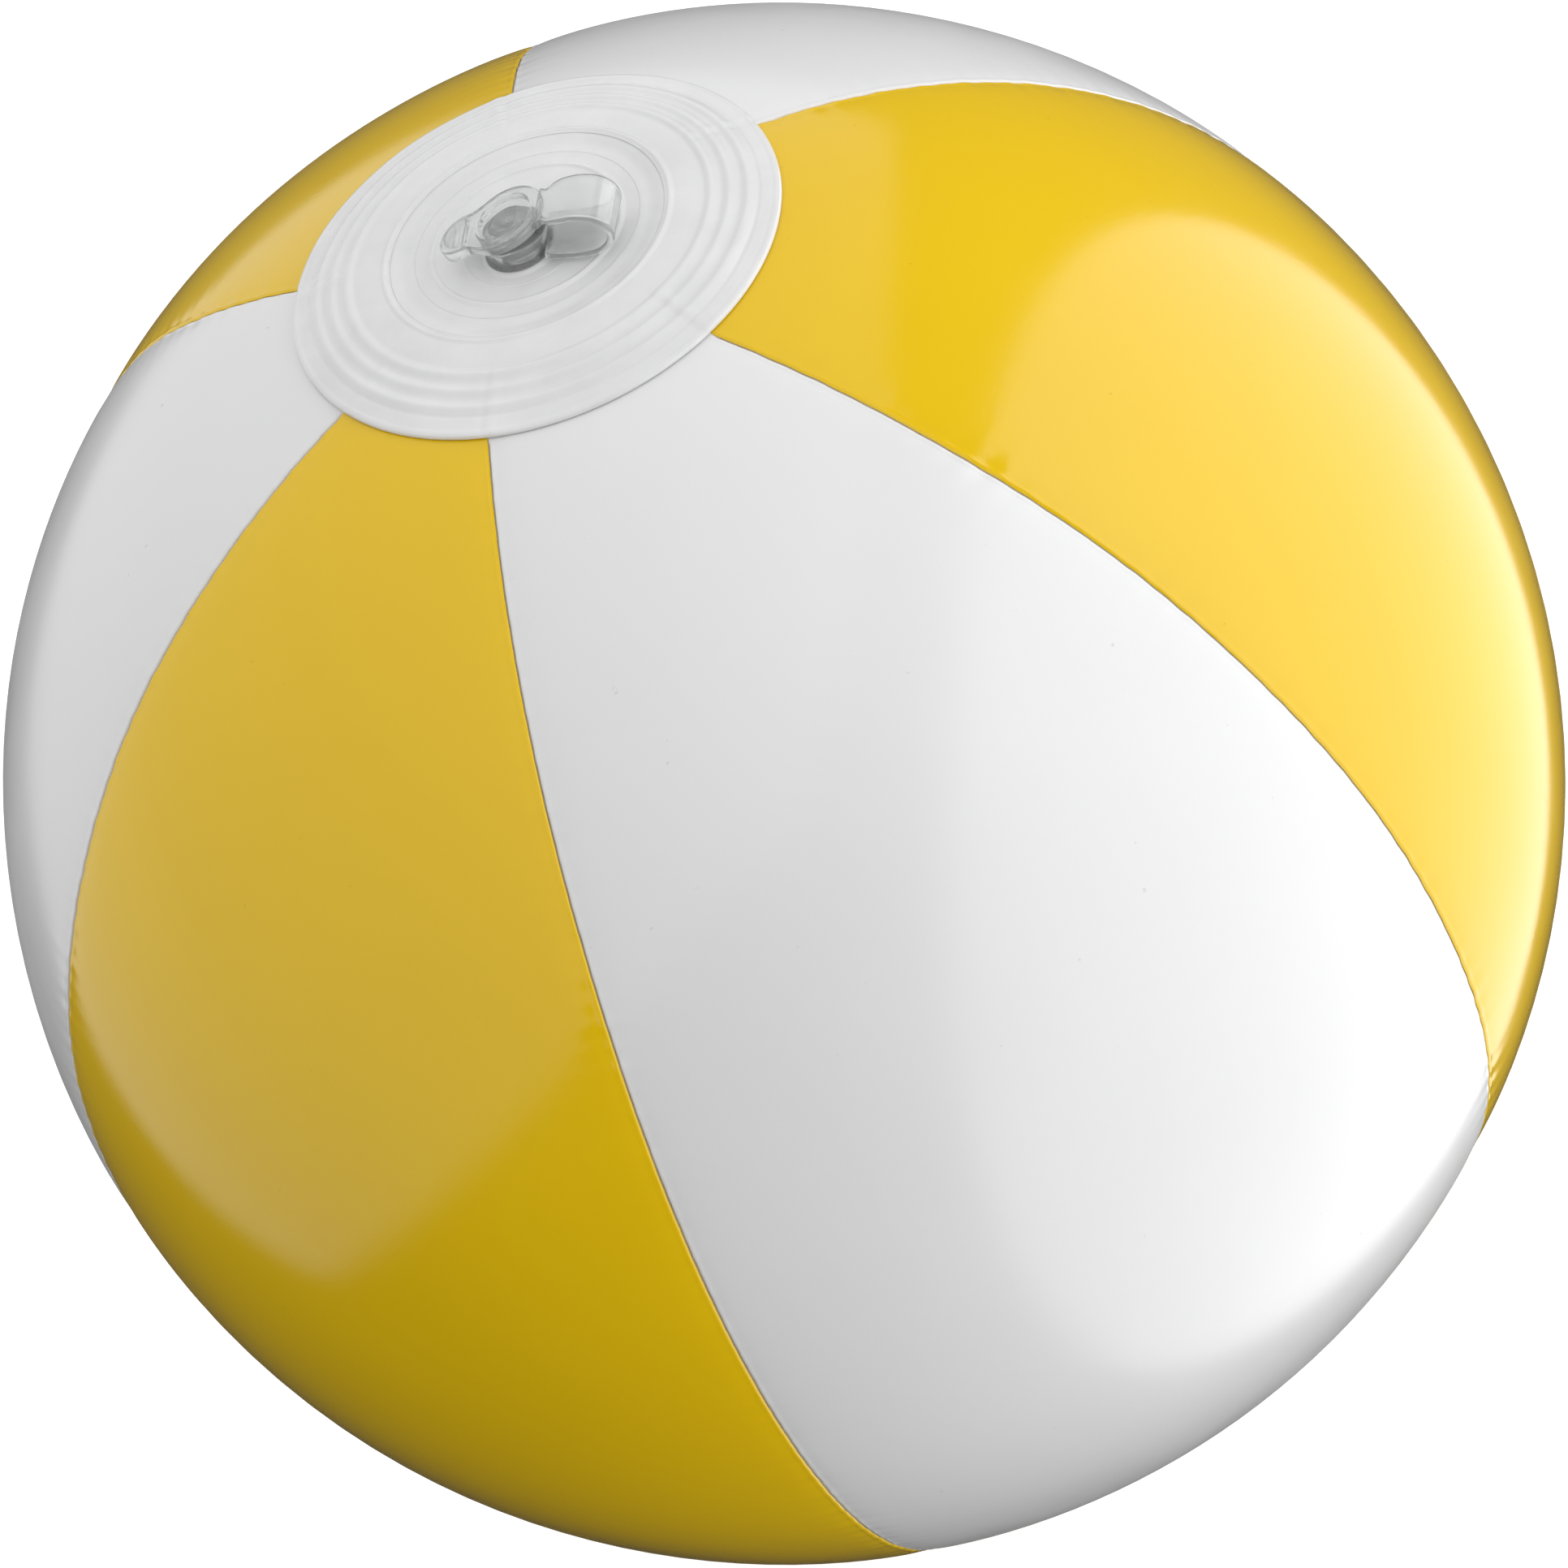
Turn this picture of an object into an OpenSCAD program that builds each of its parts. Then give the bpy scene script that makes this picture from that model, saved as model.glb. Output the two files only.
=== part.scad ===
// Inflatable beach ball: six welded film panels, a moulded inflation valve at the
// top pole and a plain closing disc at the bottom pole.
// Origin: the ball's lowest point. +Z runs up the valve axis, +X towards the
// loop of the stopper's strap. Millimetres.

/* [Ball] */
// Radius of the inflated ball, to the outside of the panels
ball_r = 130; // [125:1:140]
// Thickness of the panel film
film_t = 0.3; // [0.2:0.05:0.4]
// Lean of the panels' common axis away from the valve axis, in degrees
gore_tilt = 4.5; // [0:0.5:6]
// Direction of that lean about the valve axis, in degrees
gore_tilt_az = -110; // [-180:5:180]
// Direction of the seam between the left white and left yellow panels
seam_1 = -144; // [-148:0.5:-140]
// Direction of the seam between the left yellow and front white panels
seam_2 = -85.5; // [-90:0.5:-80]
// Direction of the seam between the front white and right yellow panels
seam_3 = -25.5; // [-30:0.5:-20]
// Direction of the seam between the right yellow and back white panels
seam_4 = 39; // [34:0.5:44]
// Direction of the seam between the back white and back yellow panels
seam_5 = 99; // [94:0.5:104]
// Direction of the seam between the back yellow and left white panels
seam_6 = 161; // [156:0.5:166]

/* [Discs] */
// Radius of the valve disc and the base disc, across the flat
disc_r = 39.2; // [36:0.2:42]
// Thickness of the valve disc
disc_t = 0.6; // [0.5:0.1:0.8]
// Thickness of the base disc
base_t = 0.5; // [0.4:0.1:0.6]
// How far the stiff middle of the valve disc dips below the ball's own curve
dish_h = 1.8; // [1:0.1:2.2]
// Radius inside which the valve disc leaves the ball's curve
dish_r = 27; // [26:0.5:27]
// Height of the valve disc's three moulded rings
ridge_h = 0.35; // [0.2:0.05:0.5]
// Radius of the disc's fixed part, inside which the rolling web begins
web_out = 22; // [21:0.5:23]
// Radius where the rolling web meets the boss
web_in = 18; // [17.5:0.5:19]

/* [Stem] */
// Offset of the stem and stopper from the middle of the disc
stem_y = -4.2; // [-4.4:0.1:0]
// Outside diameter of the stem
stem_od = 10.2; // [9.6:0.2:10.8]
// Bore of the stem
stem_id = 6.6; // [6.4:0.1:7]
// Height of the stem above the boss
stem_out = 3.8; // [3.4:0.2:6]
// Length of the stem inside the ball
stem_in = 11; // [10:0.5:13]

/* [Stopper] */
// Diameter of the stopper's cap
cap_d = 13; // [12.4:0.2:13.6]
// Thickness of the cap
cap_t = 1.7; // [1.5:0.1:2]
// Angle of the cap, strap side up
cap_tilt = 12; // [8:1:14]
// Length of the plug inside the stem
plug_len = 4.5; // [3.5:0.5:5]
// Distance from the stem's axis to the tip of the pull tab
tab_reach = 11.8; // [10.5:0.2:13]
// Width of the pull tab
tab_w = 8; // [7:0.5:9]
// Width of the strap
strap_w = 9.6; // [8:0.2:10.4]
// Thickness of the strap
strap_t = 1.3; // [1:0.1:1.5]
// Outside radius of the strap's loop
loop_r = 4.2; // [3.9:0.1:4.4]
// Distance from the stem's axis to the middle of the loop
loop_x = 12.6; // [12:0.2:13]

/* [Hidden] */
$fn = 96;

centre_z = ball_r + base_t;          // centre of the ball
top_z = centre_z + ball_r + disc_t - dish_h;  // top of the boss on the valve axis
rim_z = top_z + stem_out;            // top of the stem
low_z = top_z - stem_in;             // bottom of the stem
cap_z = rim_z + 1.4;                 // underside of the cap on the valve axis
plug_r1 = stem_id / 2 - 0.45;        // plug at the cap
plug_r2 = stem_id / 2 - 0.7;         // plug at its end
open_r = dish_r + 0.6;               // hole in the panels under each disc, so they lap it by the welded band

function arc_pt(r, a) = [r * sin(a), r * cos(a)];
function bump(x, at, w) = abs(x - at) < w ? (1 + cos(180 * (x - at) / w)) / 2 : 0;
// depth of the valve disc below the ball's curve at radius r
function dish(r) = dish_h * (1 - cos(180 * max(0, min(1, (dish_r - r) / (dish_r - 13))))) / 2;
// moulded relief of the valve disc at x, a share of the disc's radius
function relief(x) = ridge_h * (bump(x, 0.745, 0.035) + bump(x, 0.815, 0.035)
                     + bump(x, 0.885, 0.035)) + 0.25 * bump(x, 0.585, 0.02);
// relief of the boss: one low ring round the stem's foot
function boss_relief(r) = 0.3 * bump(r, 15.2, 0.9);
// relief of the web: a shallow valley
function web_relief(r) = -0.22 * bump(r, (web_in + web_out) / 2, (web_out - web_in) / 2);

// leans the panels' axis
module lean() {
    rotate([0, 0, gore_tilt_az]) rotate([0, gore_tilt, 0]) rotate([0, 0, -gore_tilt_az])
        children();
}

// one welded panel of the ball, from seam a to seam b
module panel(a, b) {
    translate([0, 0, centre_z]) difference() {
        lean() rotate([0, 0, a]) rotate_extrude(angle = b - a) intersection() {
            difference() { circle(r = ball_r); circle(r = ball_r - film_t); }
            translate([1, -ball_r - 5]) square([ball_r + 5, 2 * ball_r + 10]);
        }
        cylinder(r = open_r, h = ball_r + 20);
        translate([0, 0, -ball_r - 20]) cylinder(r = open_r, h = ball_r + 20);
    }
}

// a ring of the ball's skin, from radius r1 to r2
module skin_ring(r1, r2, thick, kind) {
    a1 = asin(r1 / ball_r);
    a2 = asin(r2 / ball_r);
    n = ceil((r2 - r1) / 0.55);
    step = (a2 - a1) / n;
    outer = [for (i = [0 : n]) let (a = a1 + i * step, x = ball_r * sin(a))
        arc_pt(ball_r + thick + (kind == "disc" ? relief(x / disc_r)
                                 : kind == "boss" ? boss_relief(x)
                                 : kind == "web" ? web_relief(x) : 0), a) - [0, dish(x)]];
    inner = [for (i = [0 : n]) let (a = a2 - i * step)
        arc_pt(ball_r, a) - [0, dish(ball_r * sin(a))]];
    translate([0, 0, centre_z]) rotate_extrude() polygon(concat(outer, inner));
}

module valve_disc() {
    color([0.93, 0.93, 0.92]) skin_ring(web_out, disc_r, disc_t, "disc");
}

module valve_web() {
    color([0.93, 0.93, 0.92]) skin_ring(web_in, web_out, disc_t, "web");
}

module valve_boss() {
    color([0.93, 0.93, 0.92]) difference() {
        skin_ring(0.4, web_in, disc_t, "boss");
        translate([0, stem_y, top_z - 20]) cylinder(d = stem_od, h = 40);
    }
}

module base_disc() {
    color([0.93, 0.93, 0.92]) translate([0, 0, centre_z]) intersection() {
        difference() { sphere(r = ball_r + base_t); sphere(r = ball_r); }
        translate([0, 0, -ball_r - 10]) cylinder(r = disc_r, h = ball_r);
    }
}

// tube with a foot flange under the boss and an ear that carries the flap
module valve_stem() {
    color([0.86, 0.88, 0.88]) difference() {
        union() {
            translate([0, 0, low_z]) cylinder(d = stem_od, h = rim_z - low_z);
            translate([0, 0, top_z - disc_t - 1.7]) cylinder(r = 8, h = 1.0);
            translate([stem_od / 2 - 0.4, -1.5, low_z]) cube([1.6, 3, 2]);
        }
        translate([0, 0, low_z - 1]) cylinder(d = stem_id, h = rim_z - low_z + 2);
    }
}

// round inner flap under the stem, hung from the ear
module check_flap() {
    color([0.86, 0.88, 0.88]) translate([0, 0, low_z - 0.8]) union() {
        cylinder(d = stem_od - 0.6, h = 0.6);
        translate([2.5, -1.5, 0]) cube([stem_od / 2 + 1.2 - 2.5, 3, 0.6]);
    }
}

// flat outline of the strap, seen from the side: out of the cap, over, round and back
module strap_side() {
    end_x = cap_d / 2 - loop_x;     // at the cap's edge
    arc = [for (a = [100 : -10 : -100]) a];
    outer = concat([[4.2 - loop_x, loop_r - 0.9], [end_x, loop_r - 0.45]],
                   [for (a = arc) loop_r * [cos(a), sin(a)]],
                   [[3.4 - loop_x, 0.5 - loop_r]]);
    inner_r = loop_r - strap_t;
    inner = concat([[3.4 - loop_x, 0.5 - inner_r]],
                   [for (i = [len(arc) - 1 : -1 : 0]) inner_r * [cos(arc[i]), sin(arc[i])]],
                   [[end_x, inner_r - 0.7], [4.2 - loop_x, inner_r - 1.15]]);
    polygon(concat(outer, inner));
}

module tether_strap() {
    color([0.86, 0.88, 0.88]) difference() {
        translate([loop_x, strap_w / 2, cap_z + 3.4 - loop_r]) rotate([90, 0, 0])
            linear_extrude(height = strap_w) strap_side();
        // clears the stem and the tilted cap
        translate([0, 0, low_z]) cylinder(d = stem_od, h = rim_z - low_z + 0.01);
        translate([0, 0, cap_z]) rotate([0, -cap_tilt, 0]) translate([0, 0, -2])
            cylinder(d = cap_d, h = cap_t + 4);
    }
}

// cap with a round recess and a central button, pull tab and plug
module stopper() {
    color([0.86, 0.88, 0.88]) union() {
        translate([0, 0, cap_z]) rotate([0, -cap_tilt, 0]) union() {
            difference() {
                cylinder(d = cap_d, h = cap_t);
                translate([0, 0, cap_t - 0.7]) cylinder(d = 9, h = 2);
            }
            translate([0, 0, cap_t - 0.71]) cylinder(d1 = 3, d2 = 2.2, h = 0.6);
            tab();
        }
        translate([0, 0, rim_z - plug_len])
            cylinder(r1 = plug_r2, r2 = plug_r1, h = plug_len + 1.6);
    }
}

// pull tab: raised rim, sunk floor and two cross ribs
module tab() {
    difference() {
        linear_extrude(height = cap_t - 0.1) difference() {
            union() {
                translate([-tab_reach + tab_w / 2, 0]) circle(d = tab_w);
                translate([-tab_reach + tab_w / 2, -tab_w / 2]) square([tab_reach - tab_w / 2 - 2, tab_w]);
            }
            circle(d = cap_d - 0.4);
        }
        translate([0, 0, 0.7]) linear_extrude(height = 3) difference() {
            translate([-tab_reach + tab_w / 2, 0]) union() {
                circle(d = tab_w - 1.6);
                translate([0, -tab_w / 2 + 0.8]) square([4, tab_w - 1.6]);
            }
            circle(d = cap_d + 0.6);
            translate([-tab_reach + 2.6, -tab_w]) square([0.45, 2 * tab_w]);
        }
    }
}

color([0.90, 0.70, 0.13]) panel(seam_1, seam_2);  // yellow_panel_left
color([0.92, 0.92, 0.92]) panel(seam_2, seam_3);  // white_panel_front
color([0.90, 0.70, 0.13]) panel(seam_3, seam_4);  // yellow_panel_right
color([0.92, 0.92, 0.92]) panel(seam_4, seam_5);  // white_panel_back
color([0.90, 0.70, 0.13]) panel(seam_5, seam_6);  // yellow_panel_back
color([0.92, 0.92, 0.92]) panel(seam_6, seam_1 + 360);  // white_panel_left
valve_disc();
base_disc();
valve_web();
valve_boss();
translate([0, stem_y, 0]) valve_stem();
translate([0, stem_y, 0]) check_flap();
translate([0, stem_y, 0]) tether_strap();
translate([0, stem_y, 0]) stopper();
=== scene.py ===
import math

import bpy
import numpy as np
from mathutils import Matrix, Vector


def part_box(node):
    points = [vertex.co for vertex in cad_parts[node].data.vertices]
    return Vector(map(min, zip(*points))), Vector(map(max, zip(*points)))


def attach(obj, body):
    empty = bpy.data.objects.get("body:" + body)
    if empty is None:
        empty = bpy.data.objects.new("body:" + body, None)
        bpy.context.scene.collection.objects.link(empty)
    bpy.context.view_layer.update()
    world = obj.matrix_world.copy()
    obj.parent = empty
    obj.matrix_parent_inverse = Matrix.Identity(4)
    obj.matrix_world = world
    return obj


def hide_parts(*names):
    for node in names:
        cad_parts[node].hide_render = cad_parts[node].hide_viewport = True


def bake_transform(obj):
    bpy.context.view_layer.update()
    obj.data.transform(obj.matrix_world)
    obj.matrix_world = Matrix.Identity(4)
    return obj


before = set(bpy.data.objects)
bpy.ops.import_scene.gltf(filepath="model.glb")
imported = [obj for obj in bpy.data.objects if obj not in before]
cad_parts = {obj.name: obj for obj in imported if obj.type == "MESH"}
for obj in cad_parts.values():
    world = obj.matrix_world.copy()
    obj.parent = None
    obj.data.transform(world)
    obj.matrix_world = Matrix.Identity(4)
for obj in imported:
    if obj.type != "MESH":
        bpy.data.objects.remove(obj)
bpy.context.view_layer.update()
MM = 0.001

# ---------------------------------------------------------------- sizes, from the frame
box_base_lo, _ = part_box("base_disc")
box_boss_lo, box_boss_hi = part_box("valve_boss")
box_stem_lo, box_stem_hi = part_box("valve_stem")
R = 130.0                                   # ball radius, mm
CZ = 130.5 + box_base_lo.z / MM             # height of the ball's centre
RIM = box_stem_hi.z / MM                    # top of the stem
LOW = box_stem_lo.z / MM                    # bottom of the stem
DISC_T, BASE_T, DISC_R = 0.6, 0.5, 39.2
DISH = 1.8                                  # the disc's stiff middle dips this far below the ball's curve
SY = (box_stem_lo.y + box_stem_hi.y) / 2 / MM  # the stem stands off the middle of the disc
TOP = CZ + R + DISC_T - DISH
CAPZ = RIM + 1.4
TILT = math.radians(12.0)

# ---------------------------------------------------------------- materials
def nodes_of(mat):
    mat.use_nodes = True
    nt = mat.node_tree
    nt.nodes.clear()
    out = nt.nodes.new("ShaderNodeOutputMaterial")
    bsdf = nt.nodes.new("ShaderNodeBsdfPrincipled")
    nt.links.new(bsdf.outputs[0], out.inputs[0])
    return nt, bsdf


def noise(nt, scale, detail=3.0, rough=0.5, vector=None, dist=0.0):
    n = nt.nodes.new("ShaderNodeTexNoise")
    n.inputs["Scale"].default_value = scale
    n.inputs["Detail"].default_value = detail
    n.inputs["Roughness"].default_value = rough
    n.inputs["Distortion"].default_value = dist
    nt.links.new(vector, n.inputs["Vector"])
    return n.outputs["Fac"]


def ramp(nt, fac, lo, hi, a, b):
    m = nt.nodes.new("ShaderNodeMapRange")
    m.inputs["From Min"].default_value = lo
    m.inputs["From Max"].default_value = hi
    m.inputs["To Min"].default_value = a
    m.inputs["To Max"].default_value = b
    nt.links.new(fac, m.inputs["Value"])
    return m.outputs["Result"]


def mixc(nt, fac, a, b):
    m = nt.nodes.new("ShaderNodeMix")
    m.data_type = "RGBA"
    nt.links.new(fac, m.inputs["Factor"])
    for sock, val in (("A", a), ("B", b)):
        i = [s for s in m.inputs if s.name == sock and s.type == "RGBA"][0]
        if isinstance(val, tuple):
            i.default_value = (*val, 1.0)
        else:
            nt.links.new(val, i)
    return [s for s in m.outputs if s.type == "RGBA"][0]


def bump(nt, bsdf, height, strength, distance):
    b = nt.nodes.new("ShaderNodeBump")
    b.inputs["Strength"].default_value = strength
    b.inputs["Distance"].default_value = distance
    nt.links.new(height, b.inputs["Height"])
    nt.links.new(b.outputs["Normal"], bsdf.inputs["Normal"])


def film(name, dark, light, r0, r1, sss=0.0):
    """Soft PVC film: faint cloudiness, uneven gloss, fine calender grain and a few specks."""
    mat = bpy.data.materials.new(name)
    nt, b = nodes_of(mat)
    co = nt.nodes.new("ShaderNodeTexCoord").outputs["Object"]
    cloud = noise(nt, 9.0, 3.0, 0.5, co)
    c = mixc(nt, ramp(nt, cloud, 0.3, 0.7, 0.0, 1.0), dark, light)
    speck = noise(nt, 420.0, 2.0, 0.6, co)
    c = mixc(nt, ramp(nt, speck, 0.755, 0.79, 0.0, 0.35), c, tuple(0.62 * x for x in dark))
    nt.links.new(c, b.inputs["Base Color"])
    nt.links.new(ramp(nt, noise(nt, 26.0, 4.0, 0.6, co), 0.3, 0.7, r0, r1), b.inputs["Roughness"])
    b.inputs["IOR"].default_value = 1.5
    if sss:
        b.inputs["Subsurface Weight"].default_value = sss
        b.inputs["Subsurface Radius"].default_value = (0.004, 0.003, 0.0015)
        b.inputs["Subsurface Scale"].default_value = 0.6
    grain = noise(nt, 900.0, 2.0, 0.5, co)
    wave = noise(nt, 38.0, 2.0, 0.4, co)
    add = nt.nodes.new("ShaderNodeMath")
    add.operation = "MULTIPLY_ADD"
    nt.links.new(wave, add.inputs[0])
    add.inputs[1].default_value = 3.0
    nt.links.new(grain, add.inputs[2])
    bump(nt, b, add.outputs[0], 0.18, 0.00006)
    return mat


def milky(name):
    """Milky moulded disc: cloudy, glossy, with faint flow lines."""
    mat = bpy.data.materials.new(name)
    nt, b = nodes_of(mat)
    co = nt.nodes.new("ShaderNodeTexCoord").outputs["Object"]
    cloud = noise(nt, 60.0, 4.0, 0.6, co)
    c = mixc(nt, ramp(nt, cloud, 0.3, 0.7, 0.0, 1.0), (0.76, 0.76, 0.765), (0.84, 0.84, 0.84))
    nt.links.new(c, b.inputs["Base Color"])
    nt.links.new(ramp(nt, noise(nt, 140.0, 3.0, 0.6, co), 0.3, 0.7, 0.12, 0.22), b.inputs["Roughness"])
    b.inputs["IOR"].default_value = 1.5
    b.inputs["Subsurface Weight"].default_value = 0.12
    b.inputs["Subsurface Radius"].default_value = (0.003, 0.003, 0.003)
    b.inputs["Subsurface Scale"].default_value = 0.5
    flow = noise(nt, 240.0, 3.0, 0.6, co, 0.4)
    bump(nt, b, flow, 0.35, 0.00012)
    return mat


def clear(name):
    """Clear soft PVC: slightly grey, slightly rough, with moulding ripples."""
    mat = bpy.data.materials.new(name)
    nt, b = nodes_of(mat)
    co = nt.nodes.new("ShaderNodeTexCoord").outputs["Object"]
    c = mixc(nt, ramp(nt, noise(nt, 300.0, 3.0, 0.6, co), 0.3, 0.7, 0.0, 1.0), (0.86, 0.87, 0.87), (0.95, 0.955, 0.955))
    nt.links.new(c, b.inputs["Base Color"])
    nt.links.new(ramp(nt, noise(nt, 500.0, 2.0, 0.5, co), 0.3, 0.7, 0.05, 0.13), b.inputs["Roughness"])
    b.inputs["IOR"].default_value = 1.45
    b.inputs["Transmission Weight"].default_value = 0.82
    bump(nt, b, noise(nt, 350.0, 3.0, 0.55, co), 0.35, 0.00015)
    return mat


M_YEL = film("film_yellow", (0.81, 0.520, 0.003), (0.87, 0.570, 0.006), 0.10, 0.16, 0.0)
M_WHT = film("film_white", (0.79, 0.79, 0.795), (0.84, 0.84, 0.84), 0.16, 0.24, 0.0)
M_DISC = milky("disc_milky")
M_CLEAR = clear("pvc_clear")

# ---------------------------------------------------------------- mesh helpers
def mesh_object(name, verts, faces, mat, smooth=True):
    me = bpy.data.meshes.new(name)
    me.from_pydata([tuple(v) for v in np.asarray(verts, float) * MM], [], [tuple(int(i) for i in f) for f in faces])
    me.validate()
    me.materials.append(mat)
    o = bpy.data.objects.new(name, me)
    bpy.context.scene.collection.objects.link(o)
    if smooth:
        me.polygons.foreach_set("use_smooth", [True] * len(me.polygons))
    me.update()
    return o


def grid_faces(nr, nc, wrap=False, base=0, flip=False):
    out = []
    cols = nc if wrap else nc - 1
    for i in range(nr - 1):
        for j in range(cols):
            a = base + i * nc + j
            b = base + i * nc + (j + 1) % nc
            c, d = b + nc, a + nc
            out.append((a, d, c, b) if flip else (a, b, c, d))
    return out


def revolve(name, profile, mat, segs=256, closed=True, displace=None, centre=(0.0, 0.0)):
    """profile: (radius, z) points round a closed ring section."""
    p = np.array(profile, float)
    n = len(p)
    phi = np.arange(segs) * 2 * np.pi / segs
    r = np.repeat(p[:, 0][:, None], segs, 1)
    z = np.repeat(p[:, 1][:, None], segs, 1)
    if displace is not None:
        z = z + displace(r, np.repeat(phi[None, :], n, 0), z)
    v = np.stack([centre[0] + r * np.cos(phi), centre[1] + r * np.sin(phi), z], -1).reshape(-1, 3)
    f = grid_faces(n, segs, wrap=True)
    if closed:
        for j in range(segs):
            k = (j + 1) % segs
            f.append(((n - 1) * segs + j, (n - 1) * segs + k, k, j))
    o = mesh_object(name, v, f, mat)
    return o


def outward(o):
    import bmesh
    bm = bmesh.new()
    bm.from_mesh(o.data)
    bmesh.ops.recalc_face_normals(bm, faces=bm.faces)
    bm.to_mesh(o.data)
    bm.free()
    return o


def sm(x, a, b):
    t = np.clip((x - a) / (b - a), 0, 1)
    return t * t * (3 - 2 * t)


def gauss(x, w):
    return np.exp(-(x / w) ** 2)


# ---------------------------------------------------------------- seams
LEAN, LEAN_AZ = math.radians(4.5), math.radians(-110.0)


def rz(a):
    return np.array([[math.cos(a), -math.sin(a), 0], [math.sin(a), math.cos(a), 0], [0, 0, 1.0]])


def ry(a):
    return np.array([[math.cos(a), 0, math.sin(a)], [0, 1.0, 0], [-math.sin(a), 0, math.cos(a)]])


T = rz(LEAN_AZ) @ ry(LEAN) @ rz(-LEAN_AZ)
# direction of each seam, and how far it wanders off its plane in mm at some angles from the valve
SEAMS = [
    (-144.0, [(10, 1.2), (20, 1.26), (28, 1.25), (36, 1.03), (44, 0.54), (52, 0.40), (60, -0.2), (65, -0.95), (70, -1.7), (75, -2.8), (85, -2.2), (120, -0.6), (170, 0)]),
    (-85.5, [(10, -1.5), (22, -1.52), (29, -1.39), (42, -0.88), (55, -0.16), (69, 0.29), (86, 0.78), (98, 0.98), (130, 0.4), (170, 0)]),
    (-25.5, [(10, 1.2), (24, 1.2), (34, 1.0), (42, 1.13), (49, 1.19), (56, 0.74), (69, 0.08), (76, -0.41), (82, -1.06), (90, -1.6), (98, -1.6), (130, -0.5), (170, 0)]),
    (39.0, [(10, 1.2), (20, 1.1), (27, 0.85), (35, 0.36), (41, -0.07), (47, -0.55), (54, -0.7), (80, -0.5), (170, 0)]),
    (99.0, [(10, -1.6), (18, -1.24), (23, -0.23), (27, 0.22), (32, 1.2), (50, 1.0), (170, 0)]),
    (161.0, [(10, 1.4), (18, 1.32), (24, 0.9), (28, 0.6), (32, -0.1), (35, -0.7), (38, -1.6), (60, -1.2), (170, 0)]),
]
rng = np.random.RandomState(11)
PUCK = [[(rng.uniform(3.6, 5.2), rng.uniform(0, 6.28)), (rng.uniform(5.6, 8.0), rng.uniform(0, 6.28)), (rng.uniform(11, 17), rng.uniform(0, 6.28))] for _ in SEAMS]


def seam_phi(k, th):
    az, knots = SEAMS[k % 6]
    a = math.radians(az)
    n = T @ np.array([-math.sin(a), math.cos(a), 0.0])
    kx = np.array([p[0] for p in knots], float)
    ky = np.array([p[1] for p in knots], float)
    deg = np.degrees(th)
    off = np.interp(deg, kx, ky)
    off = sum(np.interp(deg + s, kx, ky) for s in (-4, -2, 0, 2, 4)) / 5.0
    h = math.hypot(n[0], n[1])
    phi = math.atan2(n[1], n[0]) - np.arccos(np.clip((off / R - n[2] * np.cos(th)) / np.sin(th) / h, -1, 1))
    base = a
    return base + (phi - base + np.pi) % (2 * np.pi) - np.pi


def pucker(k, s):
    """Small uneven gathers along a seam, s in mm along it."""
    out = 0.0
    for (w, ph), a in zip(PUCK[k % 6], (0.5, 0.35, 0.3)):
        out = out + a * np.sin(2 * np.pi * s / w + ph)
    return out


def swell(x, y, z):
    """Very slight unevenness of the inflated skin, mm, from unit position."""
    return (0.10 * np.sin(3.1 * x + 4.3 * y + 1.0) * np.cos(3.7 * z - 2.2 * x)
            + 0.05 * np.sin(7.3 * y - 5.1 * z + 2.0) + 0.035 * np.sin(11.7 * x + 9.1 * z + 0.5))


NEAR = [0.0, 0.10, 0.2, 0.32, 0.46, 0.62, 0.85, 1.15, 1.6, 2.2, 3.0, 4.0, 5.4, 7.4, 10.0, 13.0]


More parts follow.
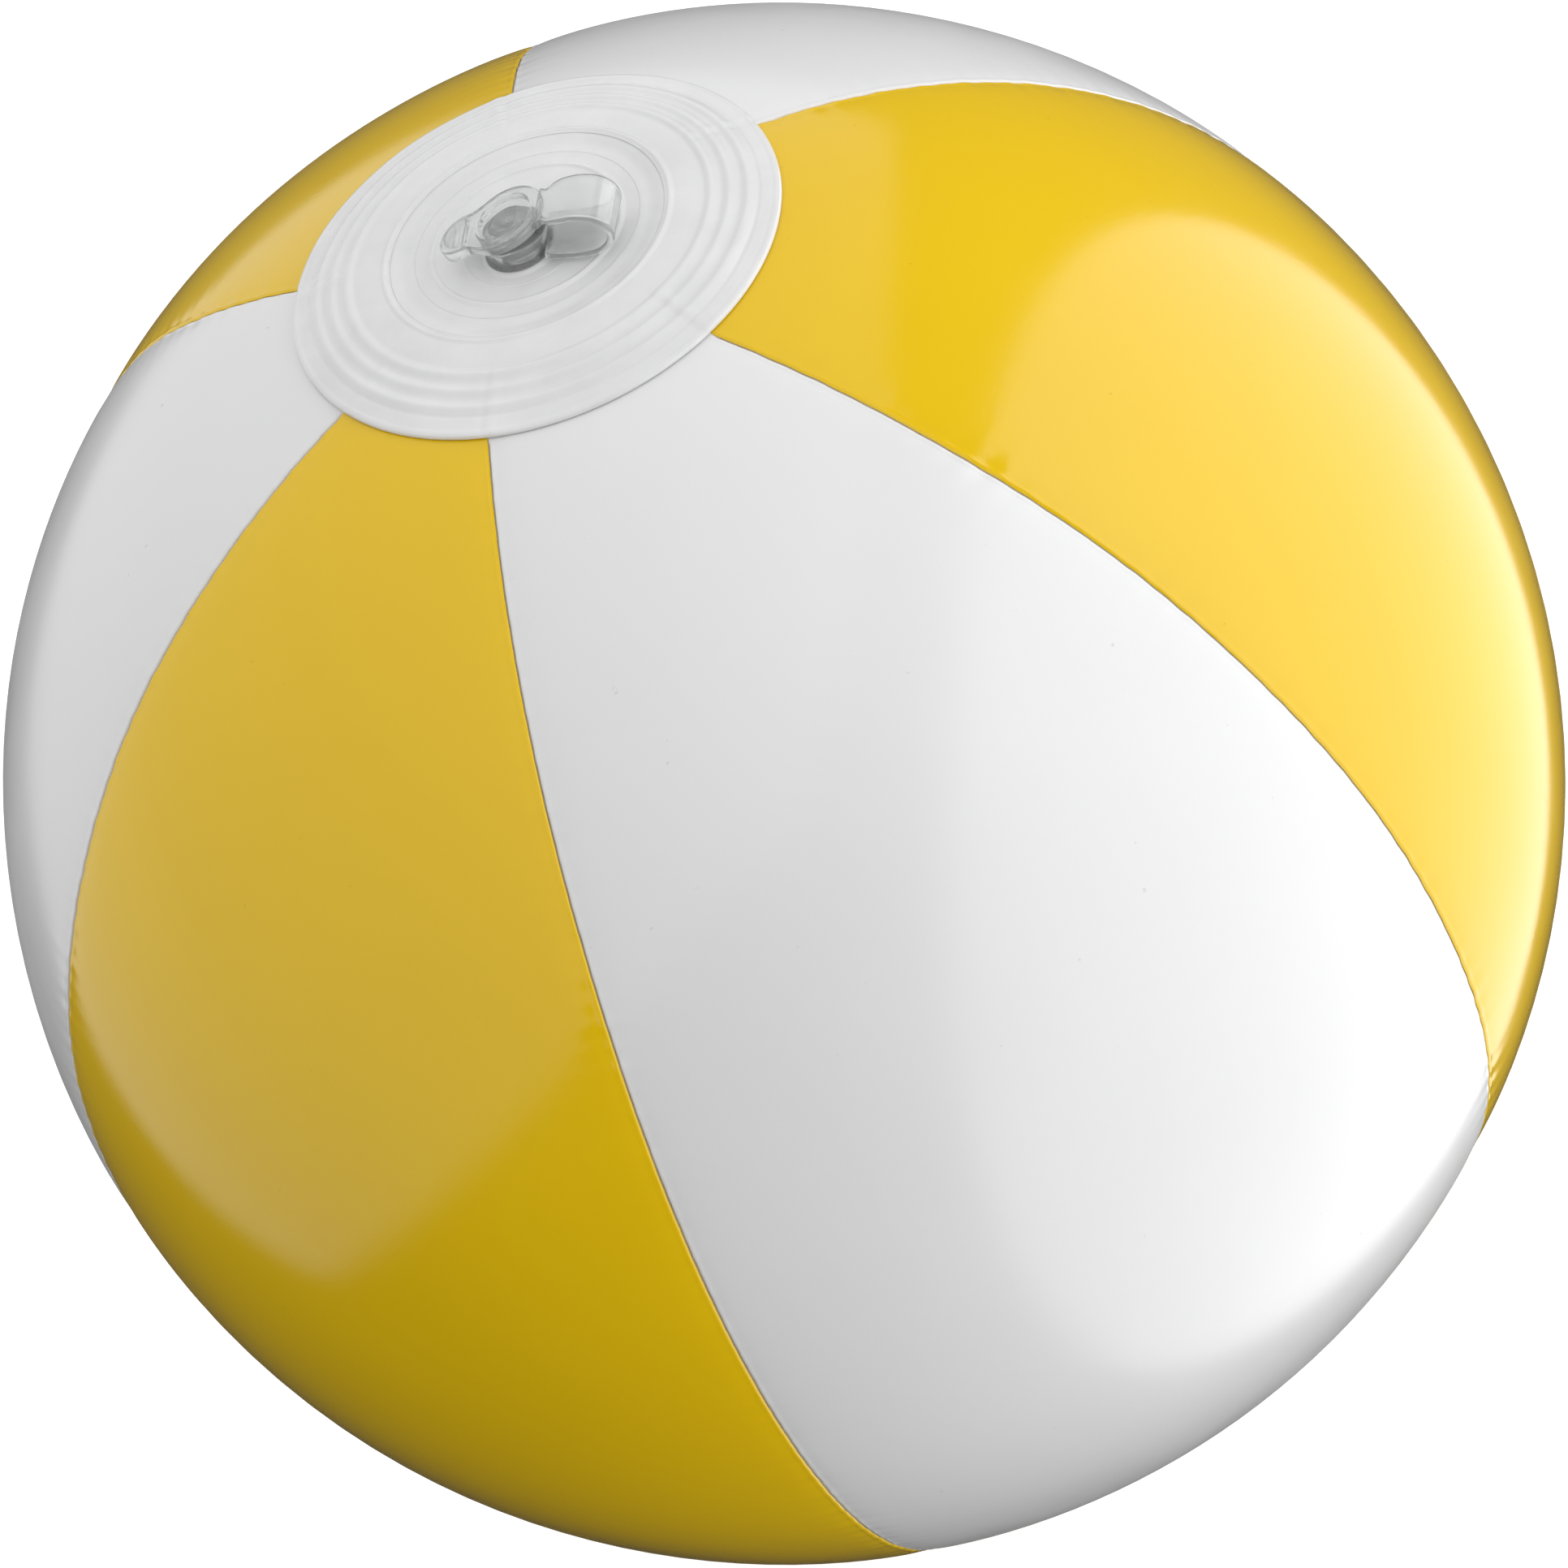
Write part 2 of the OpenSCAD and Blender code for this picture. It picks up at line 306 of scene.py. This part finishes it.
def panel(name, k, mat, over):
    """Panel between seam k and seam k+1. over: its edges lie on the neighbours' edges."""
    th = np.concatenate([np.radians(np.linspace(12.3, 130, 330)), np.radians(np.linspace(130.8, 167.7, 60))])
    pa, pb = seam_phi(k, th), seam_phi(k + 1, th)
    if k == 5:
        pb = pb + 2 * np.pi
    w = R * np.sin(th) * (pb - pa)
    under = [] if over else [-2.2, -1.6, -1.0, -0.5, -0.25, -0.08]
    mid = 22
    near = np.array(NEAR)
    sc = np.minimum(1.0, (w / 2) / 15.0)
    cols = []
    for d in under:
        cols.append(np.full_like(w, d))
    for d in near:
        cols.append(d * sc)
    for i in range(1, mid):
        f = i / mid
        cols.append(near[-1] * sc + (w - 2 * near[-1] * sc) * f)
    for d in near[::-1]:
        cols.append(w - d * sc)
    for d in under[::-1]:
        cols.append(w - d)
    D = np.stack(cols, 1)                        # distance from seam k, mm
    W = w[:, None]
    dl = np.minimum(D, W - D)                    # distance to the nearer seam (negative under the lap)
    left = D < W / 2
    s = R * th[:, None] + 0 * D
    puck = np.where(left, pucker(k, s), pucker(k + 1, s))
    ad = np.abs(dl)
    fade = sm(np.degrees(th), 11, 19)[:, None] * (1 - sm(np.degrees(th), 150, 168))[:, None]
    h = -0.30 * np.exp(-ad / 1.6) - 0.22 * np.exp(-ad / 6.5)
    h = h + (0.085 * np.exp(-ad / 1.7) + 0.02 * np.exp(-ad / 5.0)) * puck * (0.25 + 0.75 * fade)
    if over:
        h = h + 0.10 * gauss(dl - 0.45, 0.35) - 0.06 * gauss(dl, 0.15)
    else:
        h = h - 0.40 * (1 - sm(dl, 0.05, 0.34)) + 0.10 * gauss(dl - 0.62, 0.24)
    phi = pa[:, None] + D / (R * np.sin(th))[:, None]
    x, y, z = np.sin(th)[:, None] * np.cos(phi), np.sin(th)[:, None] * np.sin(phi), np.cos(th)[:, None] + 0 * phi
    h = h + swell(x, y, z) - 0.16
    # flat under the discs
    rr = R * np.hypot(x, y)
    h = np.where(rr < DISC_R + 1.5, h * sm(rr, DISC_R - 1.0, DISC_R + 1.5) - 0.30 * (1 - sm(rr, DISC_R - 1.0, DISC_R + 1.5)), h)
    rad = R + h
    v = np.stack([rad * x, rad * y, rad * z + CZ], -1)
    nr, nc = D.shape
    o = mesh_object(name, v.reshape(-1, 3), grid_faces(nr, nc, flip=True), mat)
    m = o.modifiers.new("thickness", "SOLIDIFY")
    m.thickness = 0.00026
    m.offset = -1.0
    m.use_even_offset = False
    return o


PANELS = [
    ("yellow_panel_left", 0, M_YEL, True, "panel_yellow"),
    ("white_panel_front", 1, M_WHT, False, "panel_white"),
    ("yellow_panel_right", 2, M_YEL, True, "panel_yellow"),
    ("white_panel_back", 3, M_WHT, False, "panel_white"),
    ("yellow_panel_back", 4, M_YEL, True, "panel_yellow"),
    ("white_panel_left", 5, M_WHT, False, "panel_white"),
]
for node, k, mat, over, slot in PANELS:
    o = panel(node + "_film", k, mat, over)
    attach(o, "ball")
    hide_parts(node)

# ---------------------------------------------------------------- discs
def cap_z(r, t):
    """Height of the ball's skin plus t at radius r, on top."""
    dish = DISH * (1 - np.cos(np.pi * np.clip((27.0 - r) / 14.0, 0, 1))) / 2
    return CZ + (R + t) * np.sqrt(np.maximum(1 - (r / (R + t)) ** 2, 0)) - dish


def b1(x, at, w):
    return np.where(np.abs(x - at) < w, (1 + np.cos(np.pi * (x - at) / w)) / 2, 0.0)


SEAM_TOP = [float(seam_phi(k, np.array([math.radians(15.5)]))[0]) for k in range(6)]


def disc_disp(r, phi, z):
    """Creases over the seams and a little unevenness of the valve disc."""
    x = r / DISC_R
    top = (z > cap_z(r, 0.25)).astype(float)
    out = 0.0 * r
    for i, a in enumerate(SEAM_TOP):
        d = r * ((phi - a + np.pi) % (2 * np.pi) - np.pi)
        out = out + (-0.10 * gauss(d, 0.55) + 0.12 * gauss(d - 1.4, 0.9)) * sm(x, 0.66, 0.8)
    out = out + 0.045 * np.sin(3 * phi + 9 * x) + 0.03 * np.sin(7 * phi - 5 * x + 1.0) * sm(x, 0.5, 0.9)
    out = out + 0.05 * np.sin(11 * phi + 1.7) * sm(x, 0.9, 1.0)
    return out * top


def disc_profile(r1, r2, t, relief, step=0.14):
    n = int(math.ceil((r2 - r1) / step))
    rr = np.linspace(r1, r2, n + 1)
    top = [(r, float(cap_z(r, t) + relief(r))) for r in rr]
    bot = [(r, float(cap_z(r, 0.0) - 0.02)) for r in np.linspace(r2, r1, max(4, n // 5))]
    return top, bot


def disc_relief(r):
    x = r / DISC_R
    v = 0.42 * (b1(x, 0.745, 0.034) + b1(x, 0.815, 0.034) + b1(x, 0.885, 0.034))
    v = v - 0.10 * b1(x, 0.92, 0.012)
    v = v + 0.26 * b1(x, 0.585, 0.018) + 0.10 * sm(x, 0.60, 0.57)
    v = v + 0.10 * b1(x, 0.985, 0.015)
    return v


top, bot = disc_profile(22.0, DISC_R - 0.18, DISC_T, disc_relief)
edge = [(DISC_R - 0.05, float(cap_z(DISC_R, DISC_T)) - 0.08), (DISC_R, float(cap_z(DISC_R, DISC_T)) - 0.22), (DISC_R, float(cap_z(DISC_R, 0.0)) + 0.03), (DISC_R - 0.1, float(cap_z(DISC_R, 0.0)) - 0.06)]
disc = outward(revolve("valve_disc_moulding", top + edge + bot, M_DISC, 480, True, disc_disp))
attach(disc, "ball"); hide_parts("valve_disc")


def web_relief(r):
    return -0.24 * b1(r, 20.0, 2.0)


top, bot = disc_profile(18.0, 22.0, DISC_T, web_relief, 0.12)
web = outward(revolve("valve_web_roll", top + bot, M_DISC, 288, True))


def boss_relief(r):
    v = 0.32 * b1(r, 15.2, 0.75) + 0.12 * sm(r, 15.6, 14.8)
    return v + 0.55 * (1 - sm(r, 5.1, 6.6)) ** 2 + 0.05 * b1(r, 9.5, 0.6)


def boss_disp(r, phi, z):
    top = (z > cap_z(r, 0.25)).astype(float)
    return top * (0.03 * np.sin(5 * phi + 0.6 * r) + 0.02 * np.sin(9 * phi - 0.4 * r) ) * sm(r, 6, 9) * (1 - sm(r, 16.5, 18.0))


def boss_mesh(segs=288, n=108):
    """Ring from the off-centre stem hole out to the web, its circles sliding back to the middle."""
    rr = np.linspace(5.12, 18.0, n)[:, None]
    phi = (np.arange(segs) * 2 * np.pi / segs)[None, :]
    x = rr * np.cos(phi)
    y = SY * (1 - sm(rr, 5.12, 14.0)) + rr * np.sin(phi)
    rt = np.hypot(x, y)
    up = cap_z(rt, DISC_T) + boss_relief(rr)
    up = up + boss_disp(rr, phi, up)
    dn = cap_z(rt, 0.0) - 0.02
    v = np.concatenate([np.stack([x, y, up], -1), np.stack([x, y, dn], -1)[::-1]]).reshape(-1, 3)
    f = grid_faces(2 * n, segs, wrap=True)
    f += [((2 * n - 1) * segs + j, (2 * n - 1) * segs + (j + 1) % segs, (j + 1) % segs, j) for j in range(segs)]
    return mesh_object("valve_boss_moulding", v, f, M_DISC)


boss = outward(boss_mesh())
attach(boss, "valve"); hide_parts("valve_boss")

# base disc, plain, with two low rings and a button where it was moulded
def base_mesh():
    rr = np.concatenate([np.linspace(0.4, DISC_R - 0.15, 240)])
    x = rr / DISC_R
    rel = 0.30 * (b1(x, 0.80, 0.034) + b1(x, 0.87, 0.034)) + 0.18 * b1(x, 0.5, 0.02)
    t = BASE_T + rel * 1.0
    z = CZ - (R + t) * np.sqrt(1 - (rr / (R + t)) ** 2)
    top = list(zip(rr, z))
    e = CZ - math.sqrt(R * R - DISC_R ** 2)
    edge = [(DISC_R, e - 0.3), (DISC_R, e + 0.0)]
    rb = np.linspace(DISC_R - 0.2, 0.4, 60)
    bot = list(zip(rb, CZ - np.sqrt(R * R - rb ** 2) + 0.02))
    return top + edge + bot


bd = outward(revolve("base_disc_moulding", base_mesh(), M_DISC, 320, True))
me = bd.data
# close the small middle hole with a flat button
v0 = len(me.vertices)
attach(bd, "ball"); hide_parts("base_disc")
btn = outward(revolve("base_disc_gate", [(0.02, 0.02), (0.8, 0.03), (1.0, 0.14), (1.0, 0.45), (0.02, 0.45)], M_DISC, 48, True))
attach(btn, "ball")

# ---------------------------------------------------------------- stem
zt = TOP
stem_prof = [
    (3.3, LOW + 0.15), (3.45, LOW), (4.95, LOW), (5.1, LOW + 0.15), (5.1, zt - 2.35), (7.8, zt - 2.3), (8.0, zt - 2.15), (8.0, zt - 1.45), (7.8, zt - 1.3),
    (5.15, zt - 1.25), (5.1, zt - 0.5), (5.1, zt + 0.35), (5.55, zt + 0.55), (5.62, zt + 0.8), (5.5, zt + 1.05), (5.14, zt + 1.25), (5.08, zt + 1.6),
    (5.06, RIM - 1.5), (5.1, RIM - 0.55), (5.08, RIM - 0.25), (4.9, RIM - 0.06), (4.6, RIM), (3.9, RIM), (3.5, RIM - 0.1), (3.32, RIM - 0.4), (3.3, RIM - 1.0),
]
stem = outward(revolve("valve_stem_tube", stem_prof, M_CLEAR, 128, True, None, (0.0, SY)))
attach(stem, "valve"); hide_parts("valve_stem")
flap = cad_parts["check_flap"]
flap.data.materials.clear()
flap.data.materials.append(M_CLEAR)

# ---------------------------------------------------------------- stopper
def sd_plate(x, y):
    a = np.hypot(x, y) - 6.5
    bx = np.maximum(np.abs(x + 3.9) - 3.9, 0)
    b = np.hypot(np.maximum(-7.8 - x, 0), np.maximum(np.abs(y) - 0.0, 0)) - 4.0
    b = np.where(x > -7.8, np.maximum(np.abs(y) - 4.0, x - 0.0), b)
    k = 1.6
    h = np.clip(0.5 + 0.5 * (b - a) / k, 0, 1)
    return b * (1 - h) + a * h - k * h * (1 - h)


def plate():
    na, nt = 320, 120
    ang = np.arange(na) * 2 * np.pi / na
    cx = -2.2
    lo, hi = np.full(na, 2.0), np.full(na, 14.0)
    for _ in range(40):
        mid = (lo + hi) / 2
        ins = sd_plate(cx + mid * np.cos(ang), mid * np.sin(ang)) < 0
        lo, hi = np.where(ins, mid, lo), np.where(ins, hi, mid)
    rad = (lo + hi) / 2
    t = np.concatenate([np.linspace(0.004, 0.93, nt - 24), np.linspace(0.936, 1.0, 24)])
    X = cx + t[:, None] * rad * np.cos(ang)
    Y = t[:, None] * rad * np.sin(ang)
    e = -sd_plate(X, Y)
    top = 1.7 - 0.42 * (1 - np.sqrt(np.clip(1 - np.clip(1 - e / 0.42, 0, 1) ** 2, 0, 1)))
    r = np.hypot(X, Y)
    top = top - 0.72 * (1 - sm(r, 4.25, 4.6)) + 0.10 * b1(r, 4.85, 0.35)
    top = top + 0.62 * np.sqrt(np.clip(1 - (r / 1.55) ** 2, 0, 1))
    px = X + 7.7
    pocket = np.where(px < 0, np.hypot(px, Y) - 3.05, np.abs(Y) - 3.05)
    pocket = np.maximum(pocket, -(r - 6.75))
    pk = 1 - sm(pocket, -0.30, 0.02)
    ribs = np.maximum(b1(X, -9.25, 0.34), b1(X, -7.45, 0.30))
    top = top - pk * (0.85 - 0.62 * np.clip(ribs * 1.3, 0, 1))
    top = np.where(e < 0.001, 1.28, top)
    bot = np.zeros_like(top) + 0.30 * (1 - np.sqrt(np.clip(1 - np.clip(1 - e / 0.3, 0, 1) ** 2, 0, 1)))
    bot = bot + 0.0
    # the tab droops a touch and its end is thicker
    droop = -0.35 * sm(-X, 6.0, 11.8)
    V = [np.stack([X, Y, top + droop], -1).reshape(-1, 3)]
    V.append(np.stack([X[::-1], Y[::-1], (bot + droop - 0.30 * sm(-X, 6.4, 8.5))[::-1]], -1).reshape(-1, 3))
    n = len(t)
    F = grid_faces(2 * n, na, wrap=True)
    verts = np.concatenate(V)
    c0 = len(verts)
    verts = np.concatenate([verts, [[cx, 0, float(top[0].mean())]], [[cx, 0, float(bot[0].mean())]]])
    for j in range(na):
        k = (j + 1) % na
        F.append((c0, k, j))
        F.append((c0 + 1, (2 * n - 1) * na + j, (2 * n - 1) * na + k))
    return verts, F


pv, pf = plate()
c, s_ = math.cos(TILT), math.sin(TILT)
pw = np.stack([pv[:, 0] * c - pv[:, 2] * s_, pv[:, 1] + SY, CAPZ + pv[:, 0] * s_ + pv[:, 2] * c], -1)
cap = outward(mesh_object("stopper_cap", pw, pf, M_CLEAR))
pz = RIM - 4.5
plug = outward(revolve("stopper_plug", [(0.03, pz), (2.3, pz), (2.58, pz + 0.2), (2.62, pz + 0.5), (2.72, pz + 2.2), (2.86, pz + 2.5), (2.86, pz + 3.0), (2.74, pz + 3.3), (2.85, RIM + 0.6),
                                    (3.1, RIM + 1.2), (3.3, RIM + 1.62), (0.03, RIM + 1.62)], M_CLEAR, 96, True, None, (0.0, SY)))
bpy.ops.object.select_all(action="DESELECT")
cap.select_set(True)
plug.select_set(True)
bpy.context.view_layer.objects.active = cap
bpy.ops.object.join()
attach(cap, "stopper"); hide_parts("stopper")

# ---------------------------------------------------------------- strap
def spline(pts, per=14):
    p = np.array(pts, float)
    p = np.vstack([2 * p[0] - p[1], p, 2 * p[-1] - p[-2]])
    out = []
    for i in range(1, len(p) - 2):
        for t in np.arange(per) / per:
            a, b, c_, d = p[i - 1], p[i], p[i + 1], p[i + 2]
            out.append(0.5 * ((2 * b) + (-a + c_) * t + (2 * a - 5 * b + 4 * c_ - d) * t * t + (-a + 3 * b - 3 * c_ + d) * t ** 3))
    out.append(p[-2])
    return np.array(out)


path = spline([(5.3, 1.95), (6.9, 2.28), (9.4, 2.72), (12.0, 2.72), (14.5, 1.85), (16.0, -0.1), (15.8, -2.5), (13.9, -4.05), (11.0, -4.30), (8.0, -4.0), (5.02, -3.6)])
seg = np.r_[0, np.cumsum(np.linalg.norm(np.diff(path, axis=0), axis=1))]
u = seg / seg[-1]
tan = np.gradient(path, axis=0)
tan /= np.linalg.norm(tan, axis=1)[:, None]
nor = np.stack([-tan[:, 1], tan[:, 0]], -1)      # up side at the start
half_w = 4.15 + 0.75 * sm(u, 0.03, 0.16) - 0.25 * sm(u, 0.80, 1.0)
half_w = half_w - 0.55 * b1(u, 0.045, 0.045)
ts = []
for a in np.linspace(0, 2 * np.pi, 44, endpoint=False):
    ca, sa = math.cos(a), math.sin(a)
    e = 0.22
    ts.append((np.sign(ca) * abs(ca) ** e, np.sign(sa) * abs(sa) ** 0.55))
ts = np.array(ts)
ring = []
for i in range(len(path)):
    yy = ts[:, 0] * half_w[i]
    rimb = 0.12 * np.clip((np.abs(ts[:, 0]) - 0.80) / 0.12, 0, 1) * (np.abs(ts[:, 0]) < 0.985)
    tt = ts[:, 1] * (0.56 + rimb)
    ring.append(np.stack([path[i, 0] + nor[i, 0] * tt, yy + SY, CAPZ + path[i, 1] + nor[i, 1] * tt], -1))
ring = np.array(ring)
nr, nc = ring.shape[0], ring.shape[1]
F = grid_faces(nr, nc, wrap=True)
F.append(tuple(range(nc)))
F.append(tuple((nr - 1) * nc + j for j in reversed(range(nc))))
strap = outward(mesh_object("tether_strap_band", ring.reshape(-1, 3), F, M_CLEAR))

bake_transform(strap)
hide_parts("tether_strap")

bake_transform(web)
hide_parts("valve_web")

# ---------------------------------------------------------------- camera
RIGHT = np.array([0.94819, 0.09402, -0.30347])
UP = np.array([0.13331, 0.74930, 0.64867])
BACK = np.array([0.28838, -0.65552, 0.69794])
D = 6.765
centre = np.array([0, 0, CZ]) * MM
cam = bpy.data.objects.new("camera", bpy.data.cameras.new("camera"))
bpy.context.scene.collection.objects.link(cam)
rot = Matrix([[RIGHT[i], UP[i], BACK[i]] for i in range(3)]).to_4x4()
rot.translation = Vector(centre + BACK * D * R * MM)
cam.matrix_world = rot
cam.data.sensor_width = 36.0
cam.data.lens = 963.7 * math.sqrt(D * D - 1) / 1932.0 * 36.0
cam.data.clip_start, cam.data.clip_end = 0.05, 50.0
bpy.context.scene.camera = cam

# ---------------------------------------------------------------- studio
world = bpy.data.worlds.new("studio")
bpy.context.scene.world = world
world.use_nodes = True
nt = world.node_tree
nt.nodes.clear()
wo = nt.nodes.new("ShaderNodeOutputWorld")
bg = nt.nodes.new("ShaderNodeBackground")
nt.links.new(bg.outputs[0], wo.inputs[0])
direction = nt.nodes.new("ShaderNodeTexCoord").outputs["Generated"]


def dot(v, scale=1.0):
    n = nt.nodes.new("ShaderNodeVectorMath")
    n.operation = "DOT_PRODUCT"
    nt.links.new(direction, n.inputs[0])
    n.inputs[1].default_value = tuple(float(x) * scale for x in v)
    return n.outputs["Value"]


def mth(op, a, b=None):
    n = nt.nodes.new("ShaderNodeMath")
    n.operation = op
    for i, x in enumerate((a, b)):
        if x is None:
            continue
        if isinstance(x, (int, float)):
            n.inputs[i].default_value = float(x)
        else:
            nt.links.new(x, n.inputs[i])
    return n.outputs[0]


def step(x, a, b):
    n = nt.nodes.new("ShaderNodeMapRange")
    n.interpolation_type = "SMOOTHSTEP"
    n.inputs["From Min"].default_value = a
    n.inputs["From Max"].default_value = b
    nt.links.new(x, n.inputs["Value"])
    return n.outputs["Result"]


dx = dot(RIGHT)
# right: a big round soft light
py = dot(UP + 0.10 * RIGHT)
pz_ = dot(BACK - 0.40 * RIGHT)
rad = mth("SQRT", mth("ADD", mth("MULTIPLY", py, py), mth("MULTIPLY", pz_, pz_)))
q = mth("SUBTRACT", mth("MULTIPLY", dx, 2.05), rad)
right_mask = step(q, -0.01, 0.05)
# left: a big soft panel with three straight edges
def cam_vec(a, b, c_):
    v = a * RIGHT + b * UP + c_ * BACK
    return v / np.linalg.norm(v)


e1, e2, e3 = dot(cam_vec(-0.977, 0.191, 0.086)), dot(cam_vec(-0.765, 0.637, 0.096)), dot(cam_vec(-0.738, 0.347, 0.578))
left_mask = mth("MULTIPLY", mth("MULTIPLY", step(e1, -0.004, 0.015), step(e2, -0.02, 0.05)), step(e3, -0.03, 0.06))
upness = step(dot(cam_vec(0.15, 0.9, 0.35)), -1.0, 1.0)
amb = mth("ADD", 0.03, mth("MULTIPLY", upness, 0.15))
total = mth("ADD", amb, mth("ADD", mth("MULTIPLY", right_mask, 1.80), mth("MULTIPLY", left_mask, 0.75)))
lp = nt.nodes.new("ShaderNodeLightPath").outputs["Is Camera Ray"]
mixv = nt.nodes.new("ShaderNodeMix")
mixv.data_type = "FLOAT"
nt.links.new(lp, mixv.inputs["Factor"])
fl = [s for s in mixv.inputs if s.type == "VALUE" and s.name in ("A", "B")]
nt.links.new(total, fl[0])
fl[1].default_value = 1.0
nt.links.new([s for s in mixv.outputs if s.type == "VALUE"][0], bg.inputs["Strength"])
bg.inputs["Color"].default_value = (1, 1, 1, 1)

fm = bpy.data.materials.new("pale_floor")
nt2, fb = nodes_of(fm)
fb.inputs["Base Color"].default_value = (0.42, 0.42, 0.42, 1)
fb.inputs["Roughness"].default_value = 0.9
fb.inputs["Specular IOR Level"].default_value = 0.0
fb.inputs["Emission Color"].default_value = (1, 1, 1, 1)
fb.inputs["Emission Strength"].default_value = 0.86
bpy.ops.mesh.primitive_circle_add(vertices=96, radius=6.0, fill_type="NGON", location=(0, 0, -0.0002))
floor = bpy.context.object
floor.name = "floor"
floor.data.materials.append(fm)
floor.visible_diffuse = False
floor.visible_glossy = False
floor.visible_transmission = False
bpy.context.scene.view_settings.view_transform = "Standard"
bpy.context.scene.view_settings.look = "None"
